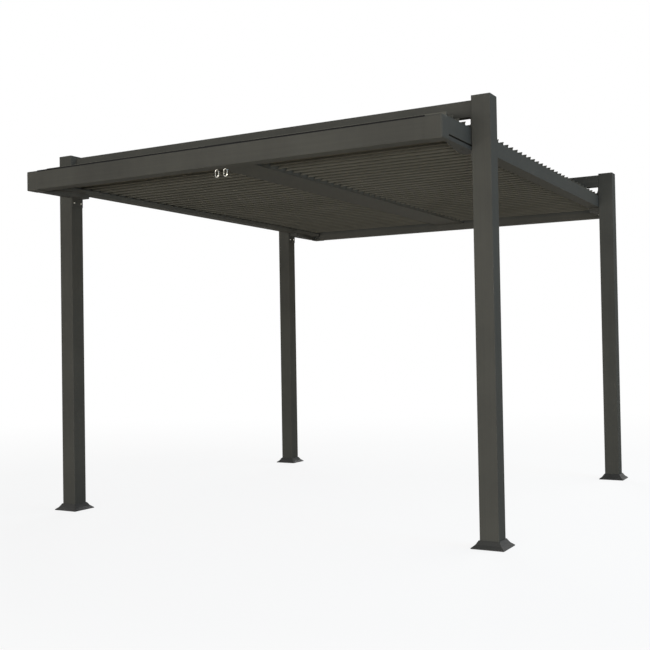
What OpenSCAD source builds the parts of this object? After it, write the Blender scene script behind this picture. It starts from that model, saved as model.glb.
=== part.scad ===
// Louvred pergola: four posts, two high crossbeams and a hung roof frame with two bays of blades.
// Millimetres. X runs across the width, Y from front to back, Z up. The origin is on the ground, in the
// middle of the four posts. The blades are drawn open, with their tops leaning back.

/* [Posts] */
// Height of the posts, caps included
post_h = 2550; // [2120:5:3060]
// Side of the square posts
post_w = 114; // [95:0.2:137]
// Wall of the post tubes
post_wall = 3; // [2:0.1:4]
// Radius of the post corners
post_r = 4; // [3:0.2:6]
// Thickness of the post caps
cap_t = 4; // [3:0.2:6]
// Depth of the plugs that hold the caps
cap_plug = 20; // [10:1:30]

/* [Feet] */
// How far the base plates reach past the posts
plate_edge = 29; // [24:0.5:35]
// Thickness of the base plates
plate_t = 8; // [6:0.2:10]
// Distance from a post face to the middle of the anchor holes
anchor_edge = 14; // [11:0.5:17]
// Diameter of the anchor holes
anchor_d = 12; // [8:0.2:15]
// Height of the sleeves that stand inside the posts
sleeve_h = 110; // [60:1:200]
// Wall of the sleeves
sleeve_wall = 4; // [3:0.2:6]
// How far the foot covers reach past the base plates
skirt_reach = 11; // [9:0.2:16]
// Height of the foot covers
skirt_h = 44; // [36:0.5:60]
// Height of the upright rim of the foot covers
skirt_rim = 5; // [4:0.2:8]
// Sheet of the foot covers
skirt_t = 2; // [1.5:0.1:3]

/* [Roof frame] */
// Width of the roof frame, along X
frame_w = 3040; // [2400:1:3660]
// Depth of the roof frame, along Y
frame_d = 3960; // [3300:1:4760]
// Distance from the front of the frame to the middle of the front posts
overhang = 483; // [400:1:580]
// Drop from the post tops to the top of the frame
roof_drop = 184; // [170:1:222]
// Height of the front and back beams
fascia_h = 128; // [112:1:150]
// How far the side beams stay above the underside of the front and back beams
side_lift = 32; // [26:1:38]
// Width of the beams with their gutters, seen from below
beam_w = 90; // [75:0.2:108]
// Width of the closed outer chamber of the beams
chamber_w = 30; // [25:0.5:36]
// Wall of the beam extrusions
beam_wall = 2.5; // [2:0.1:3]
// Radius of the outer edges of the beams
edge_r = 2; // [1:0.1:3]
// Length of the corner blocks along the front
corner_len = 100; // [80:1:120]
// Wall of the corner blocks
corner_wall = 3; // [2.5:0.1:5]
// Radius of the outer edges of the corner blocks
corner_r = 12; // [9:0.2:14.4]
// How far the corner blocks reach below the front and back beams
block_drop = 4; // [2:0.5:6]
// Gap between side beams and posts
side_gap = 2; // [1:0.2:4]

/* [Crossbeams] */
// Height of the crossbeams
cross_h = 95; // [79:1:114]
// Thickness of the crossbeams
cross_t = 56; // [46:0.5:68]
// Drop from the post tops to the crossbeams
cross_drop = 12; // [8:0.5:20]
// How far the crossbeams stay inside the inner face of the posts
cross_inset = 1; // [0.5:0.1:10]
// Wall of the cleats inside the crossbeam ends
cleat_t = 4; // [3:0.2:6]
// Length of the cleats
cleat_len = 70; // [40:1:100]

/* [Brackets] */
// Sheet of the shelf brackets under the side beams
shelf_t = 3; // [2:0.1:4]
// Width of the shelf brackets
shelf_w = 84; // [70:1:94]
// Width of their front ends
shelf_nose = 25; // [15:1:40]
// How far they reach past the middle of a post, away from the corner
shelf_back = 33; // [26:1:40]
// Gap between a shelf and the corner block
shelf_gap = 3; // [1:0.5:10]
// Open slot above the outer edge of the shelves
shelf_slot = 10; // [8:0.5:11]
// Plate of the legs and hangers that are screwed to the posts
leg_t = 5; // [4:0.2:6]
// Height of the legs below the frame
leg_h = 56; // [46:1:68]
// Width of a gusset at the crossbeam
gusset_top = 8; // [6:0.5:10]
// Height of the upright part of a gusset
gusset_foot = 20; // [10:1:24]
// Diameter of the screw heads
screw_d = 12; // [8:0.5:15]
// Distance between the two screws of a leg
screw_pitch = 68; // [50:1:76]

/* [Centre beam] */
// Width of the centre beam
centre_w = 260; // [216:2:312]
// Height of the centre beam
centre_h = 78; // [66:1:84]

/* [Louvres] */
// Number of blade rows
rows = 40; // [33:1:40]
// Distance from the front gutter to the first pivot
first_pivot = 47.25; // [40:0.25:56]
// Angle of the blades, 0 closed and 90 standing on edge
blade_angle = 60; // [0:1:90]
// How much wider a blade is than the distance between two pivots
lap = 13.5; // [11.2:0.1:16.2]
// Gap between a closed blade's lip and the body of the next one
lip_play = 5.5; // [4.5:0.1:7]
// Thickness of a blade
blade_t = 22; // [18:0.2:27]
// Wall of the blade extrusion
blade_wall = 1.6; // [1.3:0.1:2]
// Wall of the two ribs inside a blade
rib_t = 1.2; // [1:0.1:1.5]
// Thickness of the blade lips
lip_t = 2; // [1.6:0.1:2.4]
// Height of the upturned hooks on the lips
hook_h = 6; // [5:0.1:7.2]
// Room between an open blade and the gutter lip below it
lip_room = 6; // [5:0.1:7.5]
// Drop from the frame top to the pivots
pivot_drop = 9; // [7.5:0.1:10.8]
// Gap between a blade end and the beam beside it
end_gap = 6; // [5:0.1:8]
// Thickness of the blade end caps
end_cap = 3; // [2.5:0.1:4]
// Diameter of the pivot pins
pin_d = 8; // [6.5:0.1:9.6]
// Radial play of the pins in their bores
pin_play = 0.2; // [0.1:0.01:0.3]

/* [Crank] */
// Distance between the two cranks
crank_pitch = 64; // [58:0.5:77]
// Drop from the underside of the centre beam to the middle of a crank eye
crank_drop = 63; // [52:0.5:76]
// Outer height of a crank eye
eye_h = 53; // [44:0.5:64]
// Outer width of a crank eye
eye_w = 31; // [25:0.5:38]
// Thickness of the eye wire
eye_wire = 7; // [5:0.2:8.4]
// Diameter of the crank stems
stem_d = 12; // [10:0.2:14.4]
// Length of a stem inside its gearbox
stem_grip = 15; // [10:0.5:18]
// Width of a gearbox
gearbox_w = 44; // [36:0.5:50]
// Length of a gearbox along Y
gearbox_d = 60; // [50:1:72]
// Width of the flange round a gearbox
gearbox_flange = 3; // [2.4:0.2:3.6]
// Gap between the flanges and the front gutter
gearbox_gap = 14.25; // [12:0.25:17]
// Wall of a gearbox
gearbox_wall = 4; // [3:0.2:5]
// Height of the collar round a stem
collar_h = 14; // [10:0.5:18]

/* [Hidden] */
$fn = 48;
seat = 0.3;
aluminium = [0.25, 0.25, 0.24];
shade = [0.17, 0.17, 0.165];
plastic = [0.1, 0.1, 0.1];
silver = [0.75, 0.75, 0.74];

// Heights
frame_top = post_h - roof_drop;
frame_z = frame_top - fascia_h;
side_z = frame_z + side_lift;
centre_z = frame_top - centre_h;
post_top = post_h - cap_t;
cross_z = post_h - cross_drop - cross_h;
pivot_z = frame_top - pivot_drop;

// Side of what slides into a post
plug_w = post_w - 2 * post_wall - 2 * seat;

// Places in plan
post_x = frame_w / 2 + side_gap + post_w / 2;
post_y = frame_d / 2 - overhang;
post_face = frame_w / 2 + side_gap - seat;
cross_y = post_y - post_w / 2 + cross_inset;
wall_x = frame_w / 2 - chamber_w;
inner_y = frame_d / 2 - beam_w;

// Blades
pitch = 2 * (inner_y - first_pivot) / (rows - 1);
blade_w = pitch + lap;
body_w = 2 * (pitch - lip_play) - blade_w;
blade_in = centre_w / 2 + end_gap;
blade_out = wall_x - end_gap;
blade_len = blade_out - blade_in;
lip_top = pivot_z - blade_w / 2 - lip_room;
gearbox_front = first_pivot - gearbox_gap - gearbox_flange;

louvre_names = [for (i = [1 : rows]) str("louvre_row_", i < 10 ? "0" : "", i)];

// ---- shared shapes ----

// A square outline with round corners, centred
module round_square(w, d, r) {
    union() {
        square([w - 2 * r, d], center = true);
        square([w, d - 2 * r], center = true);
        for (x = [-1, 1], y = [-1, 1])
            translate([x * (w / 2 - r), y * (d / 2 - r)]) circle(r);
    }
}

// A square tube standing on z = 0
module square_tube(w, wall, r, h) {
    linear_extrude(h) difference() {
        round_square(w, w, r);
        round_square(w - 2 * wall, w - 2 * wall, max(r - wall, 0.8));
    }
}

// Whatever is drawn for a post, repeated at all four posts
module at_posts() {
    for (x = [-1, 1], y = [-1, 1])
        translate([x * post_x, y * post_y, 0]) children();
}

// Mirrored copies in all four quarters of the plan
module four_ways() {
    for (x = [0, 1], y = [0, 1]) mirror([x, 0, 0]) mirror([0, y, 0]) children();
}

// ---- posts and feet ----

module post(x, y) {
    color(aluminium)
        translate([x * post_x, y * post_y, plate_t])
            square_tube(post_w, post_wall, post_r, post_top - plate_t);
}

module post_caps() {
    plug_wall = 3;
    color(aluminium) at_posts() union() {
        translate([0, 0, post_top]) linear_extrude(cap_t) round_square(post_w, post_w, post_r);
        translate([0, 0, post_top - cap_plug]) linear_extrude(cap_plug) difference() {
            round_square(plug_w, plug_w, 2);
            square(plug_w - 2 * plug_wall, center = true);
        }
    }
}

module base_plates() {
    plate_w = post_w + 2 * plate_edge;
    anchor = post_w / 2 + anchor_edge;
    color(shade) at_posts() union() {
        difference() {
            linear_extrude(plate_t) round_square(plate_w, plate_w, 8);
            for (x = [-1, 1], y = [-1, 1])
                translate([x * anchor, y * anchor, -1]) cylinder(d = anchor_d, h = plate_t + 2);
        }
        square_tube(plug_w, sleeve_wall, 2, plate_t + sleeve_h);
    }
}

// Side view of a foot cover: upright rim, flat lower slope, steep upper slope
module skirt_side(w, h, rim, top_w) {
    knee = 0.42;
    knee_w = top_w + knee * (w - top_w);
    knee_h = rim + knee * (h - rim);
    polygon([[-w / 2, 0], [w / 2, 0], [w / 2, rim], [knee_w / 2, knee_h], [top_w / 2, h],
             [-top_w / 2, h], [-knee_w / 2, knee_h], [-w / 2, rim]]);
}

module skirt_form(w, h, rim, top_w) {
    intersection() {
        translate([0, w / 2, 0]) rotate([90, 0, 0]) linear_extrude(w) skirt_side(w, h, rim, top_w);
        translate([-w / 2, 0, 0]) rotate([90, 0, 90]) linear_extrude(w) skirt_side(w, h, rim, top_w);
    }
}

module foot_covers() {
    hole = post_w + 2 * seat;
    skirt_w = post_w + 2 * (plate_edge + skirt_reach);
    color(aluminium) at_posts() difference() {
        skirt_form(skirt_w, skirt_h, skirt_rim, hole + 4 * skirt_t);
        translate([0, 0, -skirt_t])
            skirt_form(skirt_w - 2 * skirt_t, skirt_h, skirt_rim, hole + 2 * skirt_t);
        translate([0, 0, -1]) linear_extrude(skirt_h + 2) round_square(hole, hole, post_r);
    }
}

// ---- crossbeams ----

// Drawn at the back; the front one is its mirror image
module crossbeam(y) {
    color(aluminium)
        mirror([0, y < 0 ? 1 : 0, 0])
            translate([-post_face, cross_y, cross_z]) rotate([90, 0, 90]) linear_extrude(2 * post_face)
                translate([cross_t / 2, cross_h / 2]) difference() {
                    round_square(cross_t, cross_h, edge_r);
                    square([cross_t - 2 * beam_wall, cross_h - 2 * beam_wall], center = true);
                }
}

// ---- roof frame ----

// Section of a gutter beam: closed chamber on the outside at x = 0, gutter and lip towards +x
module gutter_section(h, lip) {
    difference() {
        union() {
            translate([chamber_w / 2, h / 2]) round_square(chamber_w, h, edge_r);
            translate([chamber_w / 2, 0]) square([beam_w - chamber_w / 2, beam_wall]);
            translate([beam_w - beam_wall, 0]) square([beam_wall, lip]);
        }
        translate([beam_wall, beam_wall]) square([chamber_w - 2 * beam_wall, h - 2 * beam_wall]);
    }
}

module fascia(y) {
    len = frame_w - 2 * corner_len - 2 * seat;
    color(aluminium)
        mirror([0, y > 0 ? 1 : 0, 0])
            translate([-len / 2, -frame_d / 2, frame_z]) rotate([90, 0, 90])
                linear_extrude(len) gutter_section(fascia_h, centre_z - seat - frame_z);
}

// Where the pivots stand along Y
function pivot_y(i) = (i - (rows - 1) / 2) * pitch;

// A row of pivot bores through a wall at x, drawn to be cut out
module pivot_bores(x) {
    for (i = [0 : rows - 1])
        translate([x - 2 * beam_wall, pivot_y(i), pivot_z]) rotate([0, 90, 0])
            cylinder(r = pin_d / 2 + pin_play, h = 4 * beam_wall);
}

module side_beam(x) {
    len = 2 * inner_y - 2 * seat;
    color(aluminium)
        mirror([x > 0 ? 1 : 0, 0, 0]) difference() {
            translate([-frame_w / 2, len / 2, side_z]) rotate([90, 0, 0])
                linear_extrude(len) gutter_section(fascia_h - side_lift, lip_top - side_z);
            pivot_bores(-wall_x);
        }
}

module centre_beam() {
    len = frame_d - 2 * chamber_w - 2 * seat;
    cell_w = (centre_w - 3 * beam_wall) / 2;
    color(aluminium) difference() {
        translate([-centre_w / 2, len / 2, centre_z]) rotate([90, 0, 0])
            linear_extrude(len) difference() {
                square([centre_w, centre_h]);
                for (x = [0, 1])
                    translate([beam_wall + x * (cell_w + beam_wall), beam_wall])
                        square([cell_w, centre_h - 2 * beam_wall]);
            }
        for (x = [-1, 1])
            translate([x * crank_pitch / 2 - gearbox_w / 2 - seat, pivot_y(0) - gearbox_front - seat,
                       centre_z - beam_wall])
                cube([gearbox_w + 2 * seat, gearbox_d + 2 * seat, 3 * beam_wall]);
        for (x = [-1, 1]) pivot_bores(x * centre_w / 2);
    }
}

// A rectangle from the origin whose two corners at x = 0 are round
module round_ended(w, h, r) {
    union() {
        translate([0, r]) square([w, h - 2 * r]);
        translate([r, 0]) square([w - r, h]);
        for (y = [r, h - r]) translate([r, y]) circle(r);
    }
}

// Block with its outer corner at the origin, where its three outer edges are round
module corner_form(h, r) {
    intersection() {
        translate([0, beam_w, 0]) rotate([90, 0, 0]) linear_extrude(beam_w)
            round_ended(corner_len, h, r);
        mirror([1, -1, 0]) translate([0, corner_len, 0]) rotate([90, 0, 0])
            linear_extrude(corner_len) round_ended(beam_w, h, r);
        linear_extrude(h) union() {
            translate([r, r]) circle(r);
            translate([0, r]) square([corner_len, beam_w - r]);
            translate([r, 0]) square([corner_len - r, beam_w]);
        }
    }
}

// Corner block: two outer walls, floor, and a top as wide as the chambers
module corner_block(t) {
    h = fascia_h + block_drop;
    difference() {
        corner_form(h, corner_r);
        translate([t, t, t]) corner_form(h - 2 * t, corner_r - t);
        translate([chamber_w, chamber_w, t]) cube([corner_len, beam_w, h]);
    }
}

module corner_blocks() {
    color(aluminium) four_ways()
        translate([-frame_w / 2, -frame_d / 2, frame_z - block_drop]) corner_block(corner_wall);
}

// ---- brackets, drawn at the back right post ----

// Folded tray under the side beam, wide at the post and narrow towards the corner block
module shelf_outline(inset) {
    x = frame_w / 2;
    front = inner_y - shelf_gap;
    polygon([[x - inset, post_y - shelf_back + inset], [x - inset, front - inset],
             [x - shelf_nose + inset, front - inset], [x - shelf_w + inset, post_y + post_w / 2],
             [x - shelf_w + inset, post_y - shelf_back + inset]]);
}

module shelf_bracket() {
    plate = post_w - 2 * post_r;
    height = side_lift - seat;
    union() {
        translate([0, 0, frame_z]) difference() {
            linear_extrude(height) shelf_outline(0);
            translate([0, 0, shelf_t]) linear_extrude(height) shelf_outline(shelf_t);
            translate([frame_w / 2 - shelf_t - 1, 0, height - shelf_slot])
                cube([shelf_t + 2, frame_d, shelf_slot + 1]);
        }
        translate([post_face - leg_t, post_y - plate / 2, frame_z - leg_h])
            cube([leg_t, plate, leg_h + height - shelf_slot]);
    }
}

// Angle on the side beam and the post, with a gusset in its middle
module hanger_bracket() {
    plate = post_w - 2 * post_r;
    height = cross_z - frame_top - 2 * seat;
    translate([post_face, post_y, frame_top + seat]) union() {
        translate([-chamber_w, -plate / 2, 0]) cube([chamber_w, plate, leg_t]);
        translate([-leg_t, -plate / 2, 0]) cube([leg_t, plate, height]);
        translate([0, leg_t / 2, 0]) rotate([90, 0, 0]) linear_extrude(leg_t)
            polygon([[0, 0], [-chamber_w, 0], [-chamber_w, gusset_foot],
                     [-gusset_top, height], [0, height]]);
    }
}

// Short tube inside the crossbeam, closed against the post
module crossbeam_cleat() {
    w = cross_t - 2 * beam_wall - 2 * seat;
    h = cross_h - 2 * beam_wall - 2 * seat;
    translate([post_face - cleat_len, cross_y + cross_t / 2 - w / 2, cross_z + cross_h / 2 - h / 2])
        difference() {
            cube([cleat_len, w, h]);
            translate([-1, cleat_t, cleat_t])
                cube([cleat_len + 1 - leg_t, w - 2 * cleat_t, h - 2 * cleat_t]);
        }
}

module roof_brackets() {
    color(aluminium) four_ways() {
        shelf_bracket();
        hanger_bracket();
        crossbeam_cleat();
    }
}

module bracket_screws() {
    color(silver) four_ways()
        for (y = [-1, 1])
            translate([post_face - leg_t, post_y + y * screw_pitch / 2, frame_z - leg_h / 2])
                rotate([0, -90, 0]) cylinder(d = screw_d, h = 5);
}

// ---- crank drives ----

// Gearbox in the hollow of the centre beam, on the axis of the first blade row, with a flange below it
module crank_gearbox(x) {
    box_h = centre_h - 4 * beam_wall;
    t = gearbox_wall;
    translate([x, pivot_y(0), centre_z]) difference() {
        union() {
            translate([-gearbox_w / 2, -gearbox_front, 0]) cube([gearbox_w, gearbox_d, box_h]);
            translate([-gearbox_w / 2 - gearbox_flange, -gearbox_front - gearbox_flange, -t - seat])
                cube([gearbox_w + 2 * gearbox_flange, gearbox_d + 2 * gearbox_flange, t]);
            translate([0, 0, -collar_h]) cylinder(d = stem_d + 2 * t, h = collar_h);
        }
        translate([t - gearbox_w / 2, t - gearbox_front, stem_grip - t])
            cube([gearbox_w - 2 * t, gearbox_d - 2 * t, box_h - stem_grip]);
        translate([0, 0, -collar_h - 1])
            cylinder(r = stem_d / 2 + pin_play, h = collar_h + stem_grip + 1);
    }
}

module crank_gearboxes() {
    color(plastic) for (x = [-1, 1]) crank_gearbox(x * crank_pitch / 2);
}

// Oval loop of round wire on a stem that turns in the gearbox
module crank_eye(x) {
    bend = (eye_w - eye_wire) / 2;
    straight = eye_h - eye_w;
    color(silver)
        translate([x * crank_pitch / 2, pivot_y(0), centre_z - crank_drop]) union() {
            for (a = [0, 180]) rotate([0, a, 0]) {
                translate([0, 0, straight / 2]) rotate([90, 0, 0]) rotate_extrude(angle = 180)
                    translate([bend, 0]) circle(d = eye_wire);
                translate([bend, 0, -straight / 2]) cylinder(d = eye_wire, h = straight);
            }
            translate([0, 0, eye_h / 2 - eye_wire / 2])
                cylinder(d = stem_d, h = crank_drop - eye_h / 2 + eye_wire / 2 + stem_grip);
        }
}

// ---- louvres ----

// Section of a blade lying closed: hollow body, upper lip towards +Y, lower lip towards -Y
module blade_outline() {
    union() {
        round_square(body_w, blade_t, 4);
        for (a = [0, 180]) rotate(a) {
            translate([0, blade_t / 2 - lip_t]) square([blade_w / 2, lip_t]);
            translate([blade_w / 2 - lip_t, blade_t / 2 - hook_h]) square([lip_t, hook_h]);
        }
    }
}

module blade_section() {
    difference() {
        blade_outline();
        difference() {
            round_square(body_w - 2 * blade_wall, blade_t - 2 * blade_wall, 4 - blade_wall);
            for (x = [-1, 1]) translate([x * body_w / 5, 0]) square([rib_t, blade_t], center = true);
        }
    }
}

// A blade's end plate, with two screw holes
module blade_end() {
    rotate([90, 0, 90]) linear_extrude(end_cap) difference() {
        blade_outline();
        for (y = [-1, 1]) translate([y * body_w / 3, 0]) circle(d = 5);
    }
}

// One blade lying along +X from x = 0, its pivot pins at both ends
module blade() {
    pin_end = end_gap + beam_wall + 1.5;
    union() {
        rotate([90, 0, 90]) linear_extrude(blade_len) blade_section();
        for (x = [0, blade_len - end_cap]) translate([x, 0, 0]) blade_end();
        for (x = [-pin_end, blade_len - 1])
            translate([x, 0, 0]) rotate([0, 90, 0]) cylinder(d = pin_d, h = pin_end + 1);
    }
}

// The blades of one row: one in each bay, on one axis
module louvre_row(i) {
    color(aluminium) translate([0, pivot_y(i), pivot_z])
        for (x = [-blade_out, blade_in]) translate([x, 0, 0]) rotate([blade_angle, 0, 0]) blade();
}

post(-1, -1);  // post_front_left
post(1, -1);  // post_front_right
post(-1, 1);  // post_back_left
post(1, 1);  // post_back_right
post_caps();
foot_covers();
base_plates();
crossbeam(-1);  // crossbeam_front
crossbeam(1);  // crossbeam_back
fascia(-1);  // fascia_front
fascia(1);  // fascia_back
side_beam(-1);  // side_beam_left
side_beam(1);  // side_beam_right
centre_beam();
corner_blocks();
roof_brackets();
crank_gearboxes();
crank_eye(-1);  // crank_eye_left
crank_eye(1);  // crank_eye_right
bracket_screws();
for (i = [0 : rows - 1])
    louvre_row(i);
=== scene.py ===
import math

import bmesh
import bpy
from mathutils import Matrix, Vector


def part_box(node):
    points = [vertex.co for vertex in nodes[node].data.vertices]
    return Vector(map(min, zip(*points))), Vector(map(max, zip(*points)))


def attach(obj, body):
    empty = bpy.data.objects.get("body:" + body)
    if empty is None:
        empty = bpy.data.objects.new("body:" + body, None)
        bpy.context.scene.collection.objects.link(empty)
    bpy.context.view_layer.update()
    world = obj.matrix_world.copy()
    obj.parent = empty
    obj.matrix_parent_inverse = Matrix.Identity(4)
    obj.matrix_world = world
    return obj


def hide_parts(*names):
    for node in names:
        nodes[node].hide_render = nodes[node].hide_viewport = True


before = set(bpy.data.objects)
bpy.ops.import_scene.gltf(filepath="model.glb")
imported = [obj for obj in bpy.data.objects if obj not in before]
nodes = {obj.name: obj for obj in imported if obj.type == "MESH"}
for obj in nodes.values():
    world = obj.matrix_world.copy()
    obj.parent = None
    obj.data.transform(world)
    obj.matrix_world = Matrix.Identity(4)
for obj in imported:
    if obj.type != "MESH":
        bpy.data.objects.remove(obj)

bpy.ops.object.select_all(action="DESELECT")
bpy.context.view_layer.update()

# ---- Posts -----------------------------------------------------------------------------------
# Four square aluminium tubes with small round corners, powder coated in satin anthracite.
# The coat has a fine orange peel, and the die leaves faint lines that run up the tube.
# Rain leaves thin dry runs on the upright faces, and a little dust settles on what faces up.


def srgb(red, green, blue):
    """A colour as on a paint chart, 0 to 255, as the numbers a shader takes."""
    def linear(value):
        value /= 255
        return value / 12.92 if value <= 0.04045 else ((value + 0.055) / 1.055) ** 2.4
    return (linear(red), linear(green), linear(blue), 1.0)


def new_group(name, inputs, outputs):
    """An empty shader group with its sockets, and its two end nodes."""
    group = bpy.data.node_groups.new(name, "ShaderNodeTree")
    for label, kind in inputs:
        group.interface.new_socket(label, in_out="INPUT", socket_type="NodeSocket" + kind)
    for label, kind in outputs:
        group.interface.new_socket(label, in_out="OUTPUT", socket_type="NodeSocket" + kind)
    start = group.nodes.new("NodeGroupInput")
    end = group.nodes.new("NodeGroupOutput")
    return group, start.outputs, end.inputs


def orange_peel_group():
    """Height of the tiny waves that powder leaves when it melts in the oven."""
    group, given, out = new_group("orange_peel",
                                  [("Place", "Vector"), ("Waves per Metre", "Float")],
                                  [("Height", "Float")])
    waves = group.nodes.new("ShaderNodeTexNoise")
    waves.inputs["Detail"].default_value = 1.5
    group.links.new(given["Place"], waves.inputs["Vector"])
    group.links.new(given["Waves per Metre"], waves.inputs["Scale"])
    group.links.new(waves.outputs["Fac"], out["Height"])
    return group


def stretched_noise_group(name, output, detail):
    """Noise that is long where Stretch is small and fine where it is large."""
    group, given, out = new_group(name, [("Place", "Vector"), ("Stretch", "Vector")],
                                  [(output, "Float")])
    squeeze = group.nodes.new("ShaderNodeVectorMath")
    squeeze.operation = "MULTIPLY"
    noise = group.nodes.new("ShaderNodeTexNoise")
    noise.inputs["Scale"].default_value = 1.0
    noise.inputs["Detail"].default_value = detail
    group.links.new(given["Place"], squeeze.inputs[0])
    group.links.new(given["Stretch"], squeeze.inputs[1])
    group.links.new(squeeze.outputs["Vector"], noise.inputs["Vector"])
    group.links.new(noise.outputs["Fac"], out[output])
    return group


def settled_dust_group():
    """Where dust settles: on what faces up, in soft patches."""
    group, given, out = new_group("settled_dust", [("Place", "Vector"), ("Facing", "Vector")],
                                  [("Dust", "Float")])
    split = group.nodes.new("ShaderNodeSeparateXYZ")
    level = group.nodes.new("ShaderNodeMapRange")
    level.inputs["From Min"].default_value = 0.25
    patches = group.nodes.new("ShaderNodeTexNoise")
    patches.inputs["Scale"].default_value = 14.0
    patches.inputs["Detail"].default_value = 5.0
    thin = group.nodes.new("ShaderNodeMath")
    thin.operation = "MULTIPLY"
    group.links.new(given["Facing"], split.inputs["Vector"])
    group.links.new(split.outputs["Z"], level.inputs["Value"])
    group.links.new(given["Place"], patches.inputs["Vector"])
    group.links.new(level.outputs["Result"], thin.inputs[0])
    group.links.new(patches.outputs["Fac"], thin.inputs[1])
    group.links.new(thin.outputs["Value"], out["Dust"])
    return group


orange_peel = orange_peel_group()
die_lines = stretched_noise_group("die_lines", "Line", 3.0)
rain_runs = stretched_noise_group("rain_runs", "Run", 2.0)
settled_dust = settled_dust_group()


def start_material(name):
    """A new node material: its tree, its Principled shader, and the piece's own coordinates."""
    material = bpy.data.materials.new(name)
    material.use_nodes = True
    tree = material.node_tree
    return material, tree, tree.nodes["Principled BSDF"], tree.nodes.new("ShaderNodeTexCoord")


def add_group(tree, group, texture):
    """A shader group set in a material and fed with the piece's own coordinates."""
    node = tree.nodes.new("ShaderNodeGroup")
    node.node_tree = group
    tree.links.new(texture.outputs["Object"], node.inputs["Place"])
    return node


def add_noise(tree, texture, scale, detail=2.0):
    """Soft patches over the piece, finer as the scale grows."""
    noise = tree.nodes.new("ShaderNodeTexNoise")
    noise.inputs["Scale"].default_value = scale
    noise.inputs["Detail"].default_value = detail
    tree.links.new(texture.outputs["Object"], noise.inputs["Vector"])
    return noise.outputs["Fac"]


def add_maths(tree, operation, first, second):
    """One sum of two values, each an output or a number."""
    node = tree.nodes.new("ShaderNodeMath")
    node.operation = operation
    for value, socket in ((first, node.inputs[0]), (second, node.inputs[1])):
        if isinstance(value, (int, float)):
            socket.default_value = value
        else:
            tree.links.new(value, socket)
    return node.outputs["Value"]


def add_range(tree, value, low, high, to_low, to_high):
    """A value moved from one range to another."""
    node = tree.nodes.new("ShaderNodeMapRange")
    node.inputs["From Min"].default_value = low
    node.inputs["From Max"].default_value = high
    node.inputs["To Min"].default_value = to_low
    node.inputs["To Max"].default_value = to_high
    tree.links.new(value, node.inputs["Value"])
    return node.outputs["Result"]


def add_blend(tree, share, first, second):
    """Two colours mixed by a share; each is an output or a fixed colour."""
    node = tree.nodes.new("ShaderNodeMix")
    node.data_type = "RGBA"
    tree.links.new(share, node.inputs["Factor"])
    for colour, label in ((first, "A"), (second, "B")):
        if isinstance(colour, tuple):
            node.inputs[label].default_value = colour
        else:
            tree.links.new(colour, node.inputs[label])
    return node.outputs["Result"]


def add_bump(tree, shader, height, strength, distance):
    """A fine relief on the surface."""
    bump = tree.nodes.new("ShaderNodeBump")
    bump.inputs["Strength"].default_value = strength
    bump.inputs["Distance"].default_value = distance
    tree.links.new(height, bump.inputs["Height"])
    tree.links.new(bump.outputs["Normal"], shader.inputs["Normal"])


dust_colour = srgb(138, 132, 120)


def powder_coat(name, dark, light, run, roughness=0.72, dust=0.1, shine=0.02):
    """Satin powder coat on an extrusion that runs along the axis named by run."""
    along, across = 1.5, 130
    run_stretch = (26, 26, 1.3)
    line_share, run_share = 0.4, 0.2
    tone_low, tone_high = 0.5, 1.1
    material, tree, shader, texture = start_material(name)
    peel = add_group(tree, orange_peel, texture)
    peel.inputs["Waves per Metre"].default_value = 420
    lines = add_group(tree, die_lines, texture)
    lines.inputs["Stretch"].default_value = [along if axis == run else across for axis in "xyz"]
    runs = add_group(tree, rain_runs, texture)
    runs.inputs["Stretch"].default_value = run_stretch
    cloud = add_noise(tree, texture, scale=2.4, detail=4)
    line_tone = add_maths(tree, "MULTIPLY", lines.outputs["Line"], line_share)
    run_tone = add_maths(tree, "MULTIPLY", runs.outputs["Run"], run_share)
    tone = add_maths(tree, "ADD", add_maths(tree, "ADD", cloud, line_tone), run_tone)
    colour = add_blend(tree, add_range(tree, tone, tone_low, tone_high, 0, 1), dark, light)
    grime = add_group(tree, settled_dust, texture)
    tree.links.new(texture.outputs["Normal"], grime.inputs["Facing"])
    dust_share = add_maths(tree, "MULTIPLY", grime.outputs["Dust"], dust)
    tree.links.new(add_blend(tree, dust_share, colour, dust_colour), shader.inputs["Base Color"])
    matt = add_range(tree, tone, tone_low, tone_high, roughness - 0.05, roughness + 0.06)
    tree.links.new(matt, shader.inputs["Roughness"])
    add_bump(tree, shader, peel.outputs["Height"], strength=0.25, distance=0.0004)
    shader.inputs["Specular IOR Level"].default_value = shine
    return material


def finish_node(name, material):
    """A carried-over part gets its finish in every material slot."""
    for place in nodes[name].material_slots:
        place.material = material


coat_dark = srgb(67, 67, 64)
coat_light = srgb(77, 77, 73)
upright_coat = powder_coat("anthracite_upright", coat_dark, coat_light, "z")
for name in ("post_front_left", "post_front_right", "post_back_left", "post_back_right"):
    finish_node(name, upright_coat)

# ---- Post caps and foot covers ---------------------------------------------------------------
# Flat cast caps close the posts, and thin skirts pressed from sheet slope from each post to the
# ground. The caps are coated with the posts. The skirts' coat is smoother and glossier, and is
# painted darker than the posts' to stand for the shade on their slopes.
cap_coat = powder_coat("anthracite_cap", coat_dark, coat_light, "x", roughness=0.7, dust=0.16)
finish_node("post_caps", cap_coat)
# Painted shade: the skirts' colours are darker than the posts' coat, in place of the shade on
# their slopes.
skirt_shade_dark = srgb(44, 44, 43)
skirt_shade_light = srgb(53, 53, 51)
skirt_coat_painted_shade = powder_coat("anthracite_skirt_painted_shade", skirt_shade_dark, skirt_shade_light, "x",
                         roughness=0.5, dust=0.05, shine=0.2)
finish_node("foot_covers", skirt_coat_painted_shade)

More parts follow.
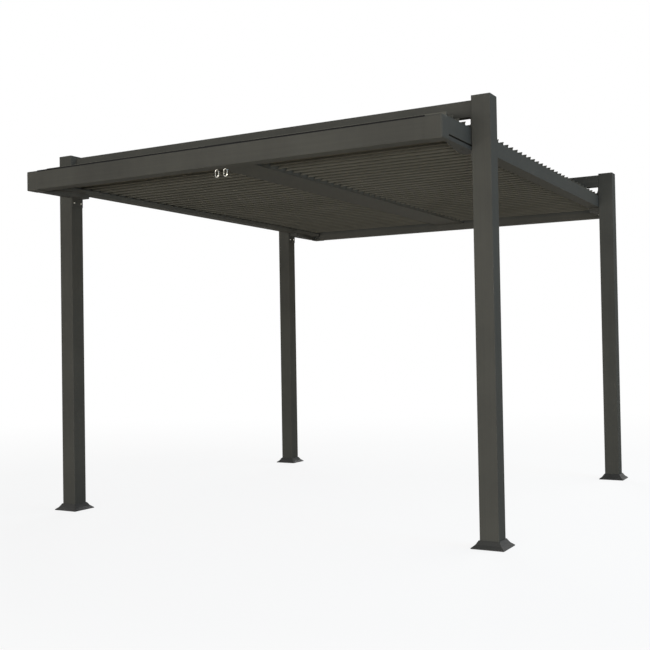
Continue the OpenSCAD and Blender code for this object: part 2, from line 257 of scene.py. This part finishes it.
# ---- Base plates -----------------------------------------------------------------------------
# Hot-dip galvanised steel plates with a sleeve, hidden in the posts and under their skirts.
# Zinc sets in flat crystals, each with its own grey and its own gloss.
zinc_dark = srgb(146, 150, 153)
zinc_light = srgb(188, 191, 193)
zinc_smooth, zinc_rough = 0.35, 0.6
zinc, tree, shader, texture = start_material("hot_dip_zinc")
crystals = tree.nodes.new("ShaderNodeTexVoronoi")
crystals.inputs["Scale"].default_value = 85
tree.links.new(texture.outputs["Object"], crystals.inputs["Vector"])
grey = tree.nodes.new("ShaderNodeSeparateColor")
tree.links.new(crystals.outputs["Color"], grey.inputs["Color"])
tree.links.new(add_blend(tree, grey.outputs["Red"], zinc_dark, zinc_light),
               shader.inputs["Base Color"])
tree.links.new(add_range(tree, grey.outputs["Green"], 0, 1, zinc_smooth, zinc_rough),
               shader.inputs["Roughness"])
shader.inputs["Metallic"].default_value = 1.0
finish_node("base_plates", zinc)

# ---- Crossbeams and fascia beams --------------------------------------------------------------
# Box extrusions that run from left to right: one high up between each pair of posts, and one
# at the front and back of the roof frame. They are coated as the posts are.
cross_coat = powder_coat("anthracite_across", coat_dark, coat_light, "x")
for name in ("crossbeam_front", "crossbeam_back", "fascia_front", "fascia_back"):
    finish_node(name, cross_coat)

# ---- Side beams and centre beam ---------------------------------------------------------------
# Box extrusions that run from front to back and carry the pins of the blades. The side beams
# end at the corner blocks, and the wide centre beam lies between the two fascia beams.
along_coat = powder_coat("anthracite_along", coat_dark, coat_light, "y")
for name in ("side_beam_left", "side_beam_right", "centre_beam"):
    finish_node(name, along_coat)

# ---- Corner blocks and roof brackets ----------------------------------------------------------
# Cast corner blocks join the four gutters. Folded aluminium trays and hangers carry the roof
# frame on the posts. Their coat is a little smoother than that of the extrusions.
cast_coat = powder_coat("anthracite_cast", coat_dark, coat_light, "z", roughness=0.68)
finish_node("corner_blocks", cast_coat)
folded_dark = srgb(63, 63, 61)
folded_light = srgb(73, 73, 70)
folded_coat = powder_coat("anthracite_folded", folded_dark, folded_light, "z", roughness=0.64)
finish_node("roof_brackets", folded_coat)

# ---- Fascia top strips -----------------------------------------------------------------------
# A thin black strip is folded over the top outer edge of each fascia beam, between the corner
# blocks, and draws a dark line along the top of the beam.
strip_top = 0.0085
strip_leg = 0.009
strip_thick = 0.0003
strip_round = strip_thick * 0.3


def pick_edges(test):
    """In edit mode, selects the edges for which the test on both ends is true."""
    mesh = bpy.context.object.data
    bpy.ops.mesh.select_mode(type="EDGE")
    bpy.ops.mesh.select_all(action="DESELECT")
    shape = bmesh.from_edit_mesh(mesh)
    for edge in shape.edges:
        edge.select_set(all(test(corner.co) for corner in edge.verts))
    bmesh.update_edit_mesh(mesh)


def apply_modifier(piece, kind, **settings):
    """Adds one modifier to a piece, sets it and applies it."""
    modifier = piece.modifiers.new(kind.lower(), kind)
    for key, value in settings.items():
        setattr(modifier, key, value)
    bpy.context.view_layer.objects.active = piece
    bpy.ops.object.modifier_apply(modifier=modifier.name)


def grained(name, waves, patches, first, second, smooth, rough, relief):
    """A small part's finish: fine grain in its gloss, and soft patches in its colour."""
    grain_low, grain_high = 0.3, 0.7
    grain_depth = 0.0003
    material, tree, shader, texture = start_material(name)
    grain = add_group(tree, orange_peel, texture)
    grain.inputs["Waves per Metre"].default_value = waves
    colour = add_blend(tree, add_noise(tree, texture, patches), first, second)
    tree.links.new(colour, shader.inputs["Base Color"])
    gloss = add_range(tree, grain.outputs["Height"], grain_low, grain_high, smooth, rough)
    tree.links.new(gloss, shader.inputs["Roughness"])
    add_bump(tree, shader, grain.outputs["Height"], strength=relief, distance=grain_depth)
    return material, shader


top_strip_finish, shader = grained("black_top_strip", waves=900, patches=9, first=srgb(12, 12, 13),
                         second=srgb(26, 26, 26), smooth=0.7, rough=0.9, relief=0.4)
shader.inputs["Specular IOR Level"].default_value = 0.15

same_line = 1e-5
fascia_low, fascia_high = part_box("fascia_front")
back_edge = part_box("fascia_back")[1].y
for name, side, outer in (("fascia_top_strip_front", -1, fascia_low.y), ("fascia_top_strip_back", 1, back_edge)):
    middle = outer - side * strip_top / 2
    bpy.ops.mesh.primitive_plane_add(size=1, location=(0, middle, fascia_high.z))
    top_strip = bpy.context.object
    top_strip.name = name
    top_strip.scale = (fascia_high.x - fascia_low.x, strip_top, 1)
    bpy.ops.object.transform_apply(location=True, rotation=False, scale=True)
    bpy.ops.object.mode_set(mode="EDIT")
    pick_edges(lambda corner: abs(corner.y - outer) < same_line)
    bpy.ops.mesh.extrude_region_move(TRANSFORM_OT_translate={"value": (0, 0, -strip_leg)})
    bpy.ops.mesh.select_all(action="SELECT")
    bpy.ops.mesh.normals_make_consistent(inside=False)
    bpy.ops.object.mode_set(mode="OBJECT")
    if sum(face.normal.z for face in top_strip.data.polygons) < 0:
        top_strip.data.flip_normals()
    apply_modifier(top_strip, "SOLIDIFY", thickness=strip_thick, offset=1.0)
    apply_modifier(top_strip, "BEVEL", width=strip_round, segments=1)
    top_strip.data.materials.clear()
    top_strip.data.materials.append(top_strip_finish)
    top_strip.select_set(False)
    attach(top_strip, "frame")

# ---- Screws of the post legs -----------------------------------------------------------------
# The tray's leg is held to each post by two bright button heads with a hexagon socket, each on
# its own washer. They stand on the leg's inner face, 68 mm apart.
zinc_plate, shader = grained("bright_zinc_plate", waves=260, patches=45, first=srgb(222, 223, 222),
                             second=srgb(236, 228, 204), smooth=0.18, rough=0.36, relief=0.15)
shader.inputs["Metallic"].default_value = 1.0


def button_head(diameter, height):
    """A button head on its washer, standing on z = 0, with a hexagon socket in its top."""
    washer_thick = height * 0.3
    washer_radius = diameter * 0.56
    key_radius = diameter * 0.24
    round_off = height * 0.45
    bpy.ops.mesh.primitive_cylinder_add(vertices=16, radius=washer_radius, depth=washer_thick,
                                        location=(0, 0, washer_thick / 2))
    washer = bpy.context.object
    bpy.ops.object.transform_apply(location=True)
    apply_modifier(washer, "BEVEL", width=washer_thick * 0.2, segments=1, limit_method="ANGLE")
    washer.select_set(False)
    bpy.ops.mesh.primitive_cylinder_add(vertices=16, radius=diameter / 2,
                                        depth=height - washer_thick,
                                        location=(0, 0, (height + washer_thick) / 2))
    head = bpy.context.object
    bpy.ops.object.transform_apply(location=True)
    bpy.ops.object.mode_set(mode="EDIT")
    pick_edges(lambda corner: corner.z > height - 1e-6)
    bpy.ops.mesh.bevel(offset=round_off, segments=3, affect="EDGES")
    bpy.ops.object.mode_set(mode="OBJECT")
    head.select_set(False)
    bpy.ops.mesh.primitive_cylinder_add(vertices=6, radius=key_radius, depth=height,
                                        location=(0, 0, height + height * 0.05))
    key = bpy.context.object
    bpy.ops.object.transform_apply(location=True)
    key.select_set(False)
    apply_modifier(head, "BOOLEAN", object=key, operation="DIFFERENCE", solver="EXACT")
    bpy.data.objects.remove(key)
    head.select_set(True)
    washer.select_set(True)
    bpy.context.view_layer.objects.active = head
    bpy.ops.object.join()
    bpy.ops.object.shade_smooth_by_angle(angle=math.radians(35))
    head.select_set(False)
    return head


def set_out(pattern, name, material, places):
    """Copies of one head, each with its own mesh, at a place and facing a way, as one piece."""
    copies = []
    for place, facing in places:
        copy = pattern.copy()
        copy.data = pattern.data.copy()
        bpy.context.scene.collection.objects.link(copy)
        turned = Vector(facing).to_track_quat("Z", "Y").to_matrix().to_4x4()
        copy.matrix_world = Matrix.Translation(place) @ turned
        copies.append(copy)
    bpy.ops.object.select_all(action="DESELECT")
    for copy in copies:
        copy.select_set(True)
    piece = copies[0]
    bpy.context.view_layer.objects.active = piece
    bpy.ops.object.transform_apply(location=True, rotation=True, scale=True)
    if len(copies) > 1:
        bpy.ops.object.join()
    piece.name = name
    piece.data.materials.clear()
    piece.data.materials.append(material)
    piece.select_set(False)
    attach(piece, "frame")
    return piece


screws_low, screws_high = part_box("bracket_screws")
leg_head = button_head(diameter=0.0105, height=0.005)
cad_head_radius = 0.006
spacing = 0.068
last_row = screws_high.y - cad_head_radius
screw_rows = [side * (last_row - shift) for side in (-1, 1) for shift in (0, spacing)]
screw_level = (screws_low.z + screws_high.z) / 2
leg_screws = set_out(leg_head, "leg_screws", zinc_plate,
                     [((side * screws_high.x, y, screw_level), (-side, 0, 0))
                      for side in (-1, 1) for y in screw_rows])
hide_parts("bracket_screws")
bpy.data.objects.remove(leg_head)

# ---- Painted bolts of the trays and hangers ---------------------------------------------------
# M8 bolts hold the trays under the side beams and corner blocks, the hangers on the side beams
# and the hangers' backs to the posts. They are coated in the frame's colour.
bolt_head = button_head(diameter=0.0145, height=0.0055)
tray_x, tray_rows, tray_underside = 1.478, (1.600, 1.780), 2.238
post_row, half_spacing = 1.497, 0.034
hanger_foot_x, hanger_foot_top = 1.506, 2.3713
hanger_back_x, hanger_back_level = 1.5167, 2.405
tray_bolts = []
hanger_bolts = []
for side in (-1, 1):
    for end in (-1, 1):
        for row in tray_rows:
            tray_bolts.append(((side * tray_x, end * row, tray_underside), (0, 0, -1)))
        for shift in (-half_spacing, half_spacing):
            row = end * post_row + shift
            hanger_bolts.append(((side * hanger_foot_x, row, hanger_foot_top), (0, 0, 1)))
            hanger_bolts.append(((side * hanger_back_x, row, hanger_back_level), (-side, 0, 0)))
for name, places in (("tray_bolts", tray_bolts), ("hanger_bolts", hanger_bolts)):
    bolts = set_out(bolt_head, name, folded_coat, places)
bpy.data.objects.remove(bolt_head)

# ---- Blades ----------------------------------------------------------------------------------
# Hollow aluminium blades with hooked lips, pressed end plates and steel pins, two to a row.
# Their coat has lines along the blade, and is painted a shade lighter and warmer than the frame's
# for the warm light that reaches them from below.
# Painted light: the blade colours are lighter and warmer than the frame's coat, to stand for the
# light on them.
blade_lit_dark = srgb(87, 86, 79)
blade_lit_light = srgb(98, 97, 90)
blade_coat_painted_light = powder_coat("anthracite_blade_painted_light", blade_lit_dark, blade_lit_light, "x", dust=0.06)
for name in nodes:
    if name.startswith("louvre_row"):
        finish_node(name, blade_coat_painted_light)

# ---- Crank gearboxes -------------------------------------------------------------------------
# Two black moulded housings sit inside the centre beam's front end. Only the flange of each
# shows below the beam, and the crank eye's stem comes out of it.
plastic, shader = grained("black_moulding", waves=1200, patches=20, first=srgb(34, 34, 34),
                          second=srgb(50, 49, 47), smooth=0.5, rough=0.7, relief=0.35)
shader.inputs["Specular IOR Level"].default_value = 0.3
finish_node("crank_gearboxes", plastic)

# ---- Crank eyes ------------------------------------------------------------------------------
# Oval eyes of bent round steel bar, bright zinc plated. Each has a stem that turns in its
# gearbox, and the hooked rod that turns the blades is hung in the eye.
for name in ("crank_eye_left", "crank_eye_right"):
    finish_node(name, zinc_plate)

# ---- Floor -----------------------------------------------------------------------------------
# A plain pale studio floor. Seen straight on it is white and keeps the object's shadow; far
# away it runs into the white backdrop without a line.
floor_bounce = srgb(228, 216, 196)
shadow_radius, white_radius = 3.5, 9.0
near_share = 0.86
bpy.ops.mesh.primitive_plane_add(size=120, location=(0, 0, -0.001))
floor = bpy.context.object
floor.name = "studio_floor"
bpy.ops.object.transform_apply(location=True)


def seen_directly(tree):
    """1 for camera, glossy and transmission rays, and 0 for the soft light that bounces."""
    path = tree.nodes.new("ShaderNodeLightPath")
    direct = add_maths(tree, "MAXIMUM", path.outputs["Is Camera Ray"],
                       path.outputs["Is Glossy Ray"])
    return add_maths(tree, "MAXIMUM", direct, path.outputs["Is Transmission Ray"])


material, tree, shader, texture = start_material("studio_floor")
shader.inputs["Roughness"].default_value = 0.9
shader.inputs["Specular IOR Level"].default_value = 0.0
seen = seen_directly(tree)
tree.links.new(add_blend(tree, seen, floor_bounce, (1, 1, 1, 1)), shader.inputs["Base Color"])
distance = tree.nodes.new("ShaderNodeVectorMath")
distance.operation = "LENGTH"
tree.links.new(texture.outputs["Object"], distance.inputs[0])
share = add_range(tree, distance.outputs["Value"], shadow_radius, white_radius, near_share, 1.0)
white = tree.nodes.new("ShaderNodeEmission")
white.inputs["Strength"].default_value = 1.0
mix = tree.nodes.new("ShaderNodeMixShader")
tree.links.new(add_maths(tree, "MULTIPLY", seen, share), mix.inputs[0])
tree.links.new(shader.outputs[0], mix.inputs[1])
tree.links.new(white.outputs[0], mix.inputs[2])
tree.links.new(mix.outputs[0], tree.nodes["Material Output"].inputs["Surface"])
floor.data.materials.append(material)
floor.select_set(False)

# ---- Light -----------------------------------------------------------------------------------
# A white backdrop gives a soft even light. One low softbox stands in front, and a wide one far
# beyond it reaches under the roof. A cool one on the right, a large one high up and one behind
# light the other faces.
world = bpy.data.worlds.new("studio")
bpy.context.scene.world = world
world.use_nodes = True
sky = world.node_tree
soft_light = sky.nodes["Background"]
soft_light.inputs["Color"].default_value = (0.95, 0.975, 1.0, 1)
soft_light.inputs["Strength"].default_value = 0.2
backdrop = sky.nodes.new("ShaderNodeBackground")
backdrop.inputs["Color"].default_value = (1, 1, 1, 1)
backdrop.inputs["Strength"].default_value = 1.0
mix = sky.nodes.new("ShaderNodeMixShader")
sky.links.new(seen_directly(sky), mix.inputs[0])
sky.links.new(soft_light.outputs[0], mix.inputs[1])
sky.links.new(backdrop.outputs[0], mix.inputs[2])
sky.links.new(mix.outputs[0], sky.nodes["World Output"].inputs["Surface"])


def softbox(name, place, target, size, power, colour):
    """A rectangular area lamp at a place, aimed at a target."""
    data = bpy.data.lights.new(name, "AREA")
    data.shape = "RECTANGLE"
    data.size, data.size_y = size
    data.energy = power
    data.color = colour
    lamp = bpy.data.objects.new(name, data)
    bpy.context.scene.collection.objects.link(lamp)
    lamp.location = place
    lamp.rotation_euler = (Vector(target) - Vector(place)).to_track_quat("-Z", "Y").to_euler()


softbox("front_softbox", place=(2.5, -11.0, 0.75), target=(0, 0, 2.2), size=(8, 0.8),
        power=680, colour=(1.0, 0.985, 0.96))
softbox("far_softbox", place=(0, -26, 0.8), target=(0, 0, 2.0), size=(18, 1.3),
        power=600, colour=(1.0, 0.98, 0.93))
softbox("right_softbox", place=(8.0, -1.0, 5.0), target=(1.5, -0.5, 1.8), size=(4, 3),
        power=205, colour=(0.5, 0.74, 1.0))
softbox("high_softbox", place=(5.0, 3.5, 9.0), target=(1.0, 0, 1.0), size=(7, 7),
        power=380, colour=(1.0, 0.97, 0.92))
softbox("back_softbox", place=(-7.0, 11.0, 6.0), target=(0, 0, 1.4), size=(8, 3),
        power=700, colour=(0.97, 0.98, 1.0))

# ---- Camera ----------------------------------------------------------------------------------
# The view of someone who stands a few steps off the front right-hand post: the lens is at chest
# height and looks a little up at the roof.
eye = (3.4238, -6.6777, 1.1487)
heading, tilt, roll = (math.radians(angle) for angle in (29.262, 91.232, -0.963))
camera_data = bpy.data.cameras.new("camera")
camera_data.lens = 53.15
camera_data.sensor_width = 36
camera_data.clip_end = 300
camera = bpy.data.objects.new("camera", camera_data)
bpy.context.scene.collection.objects.link(camera)
turn = Matrix.Rotation(heading, 4, "Z") @ Matrix.Rotation(tilt, 4, "X")
camera.matrix_world = Matrix.Translation(eye) @ turn @ Matrix.Rotation(roll, 4, "Z")
bpy.context.scene.camera = camera
bpy.context.scene.view_settings.view_transform = "Standard"
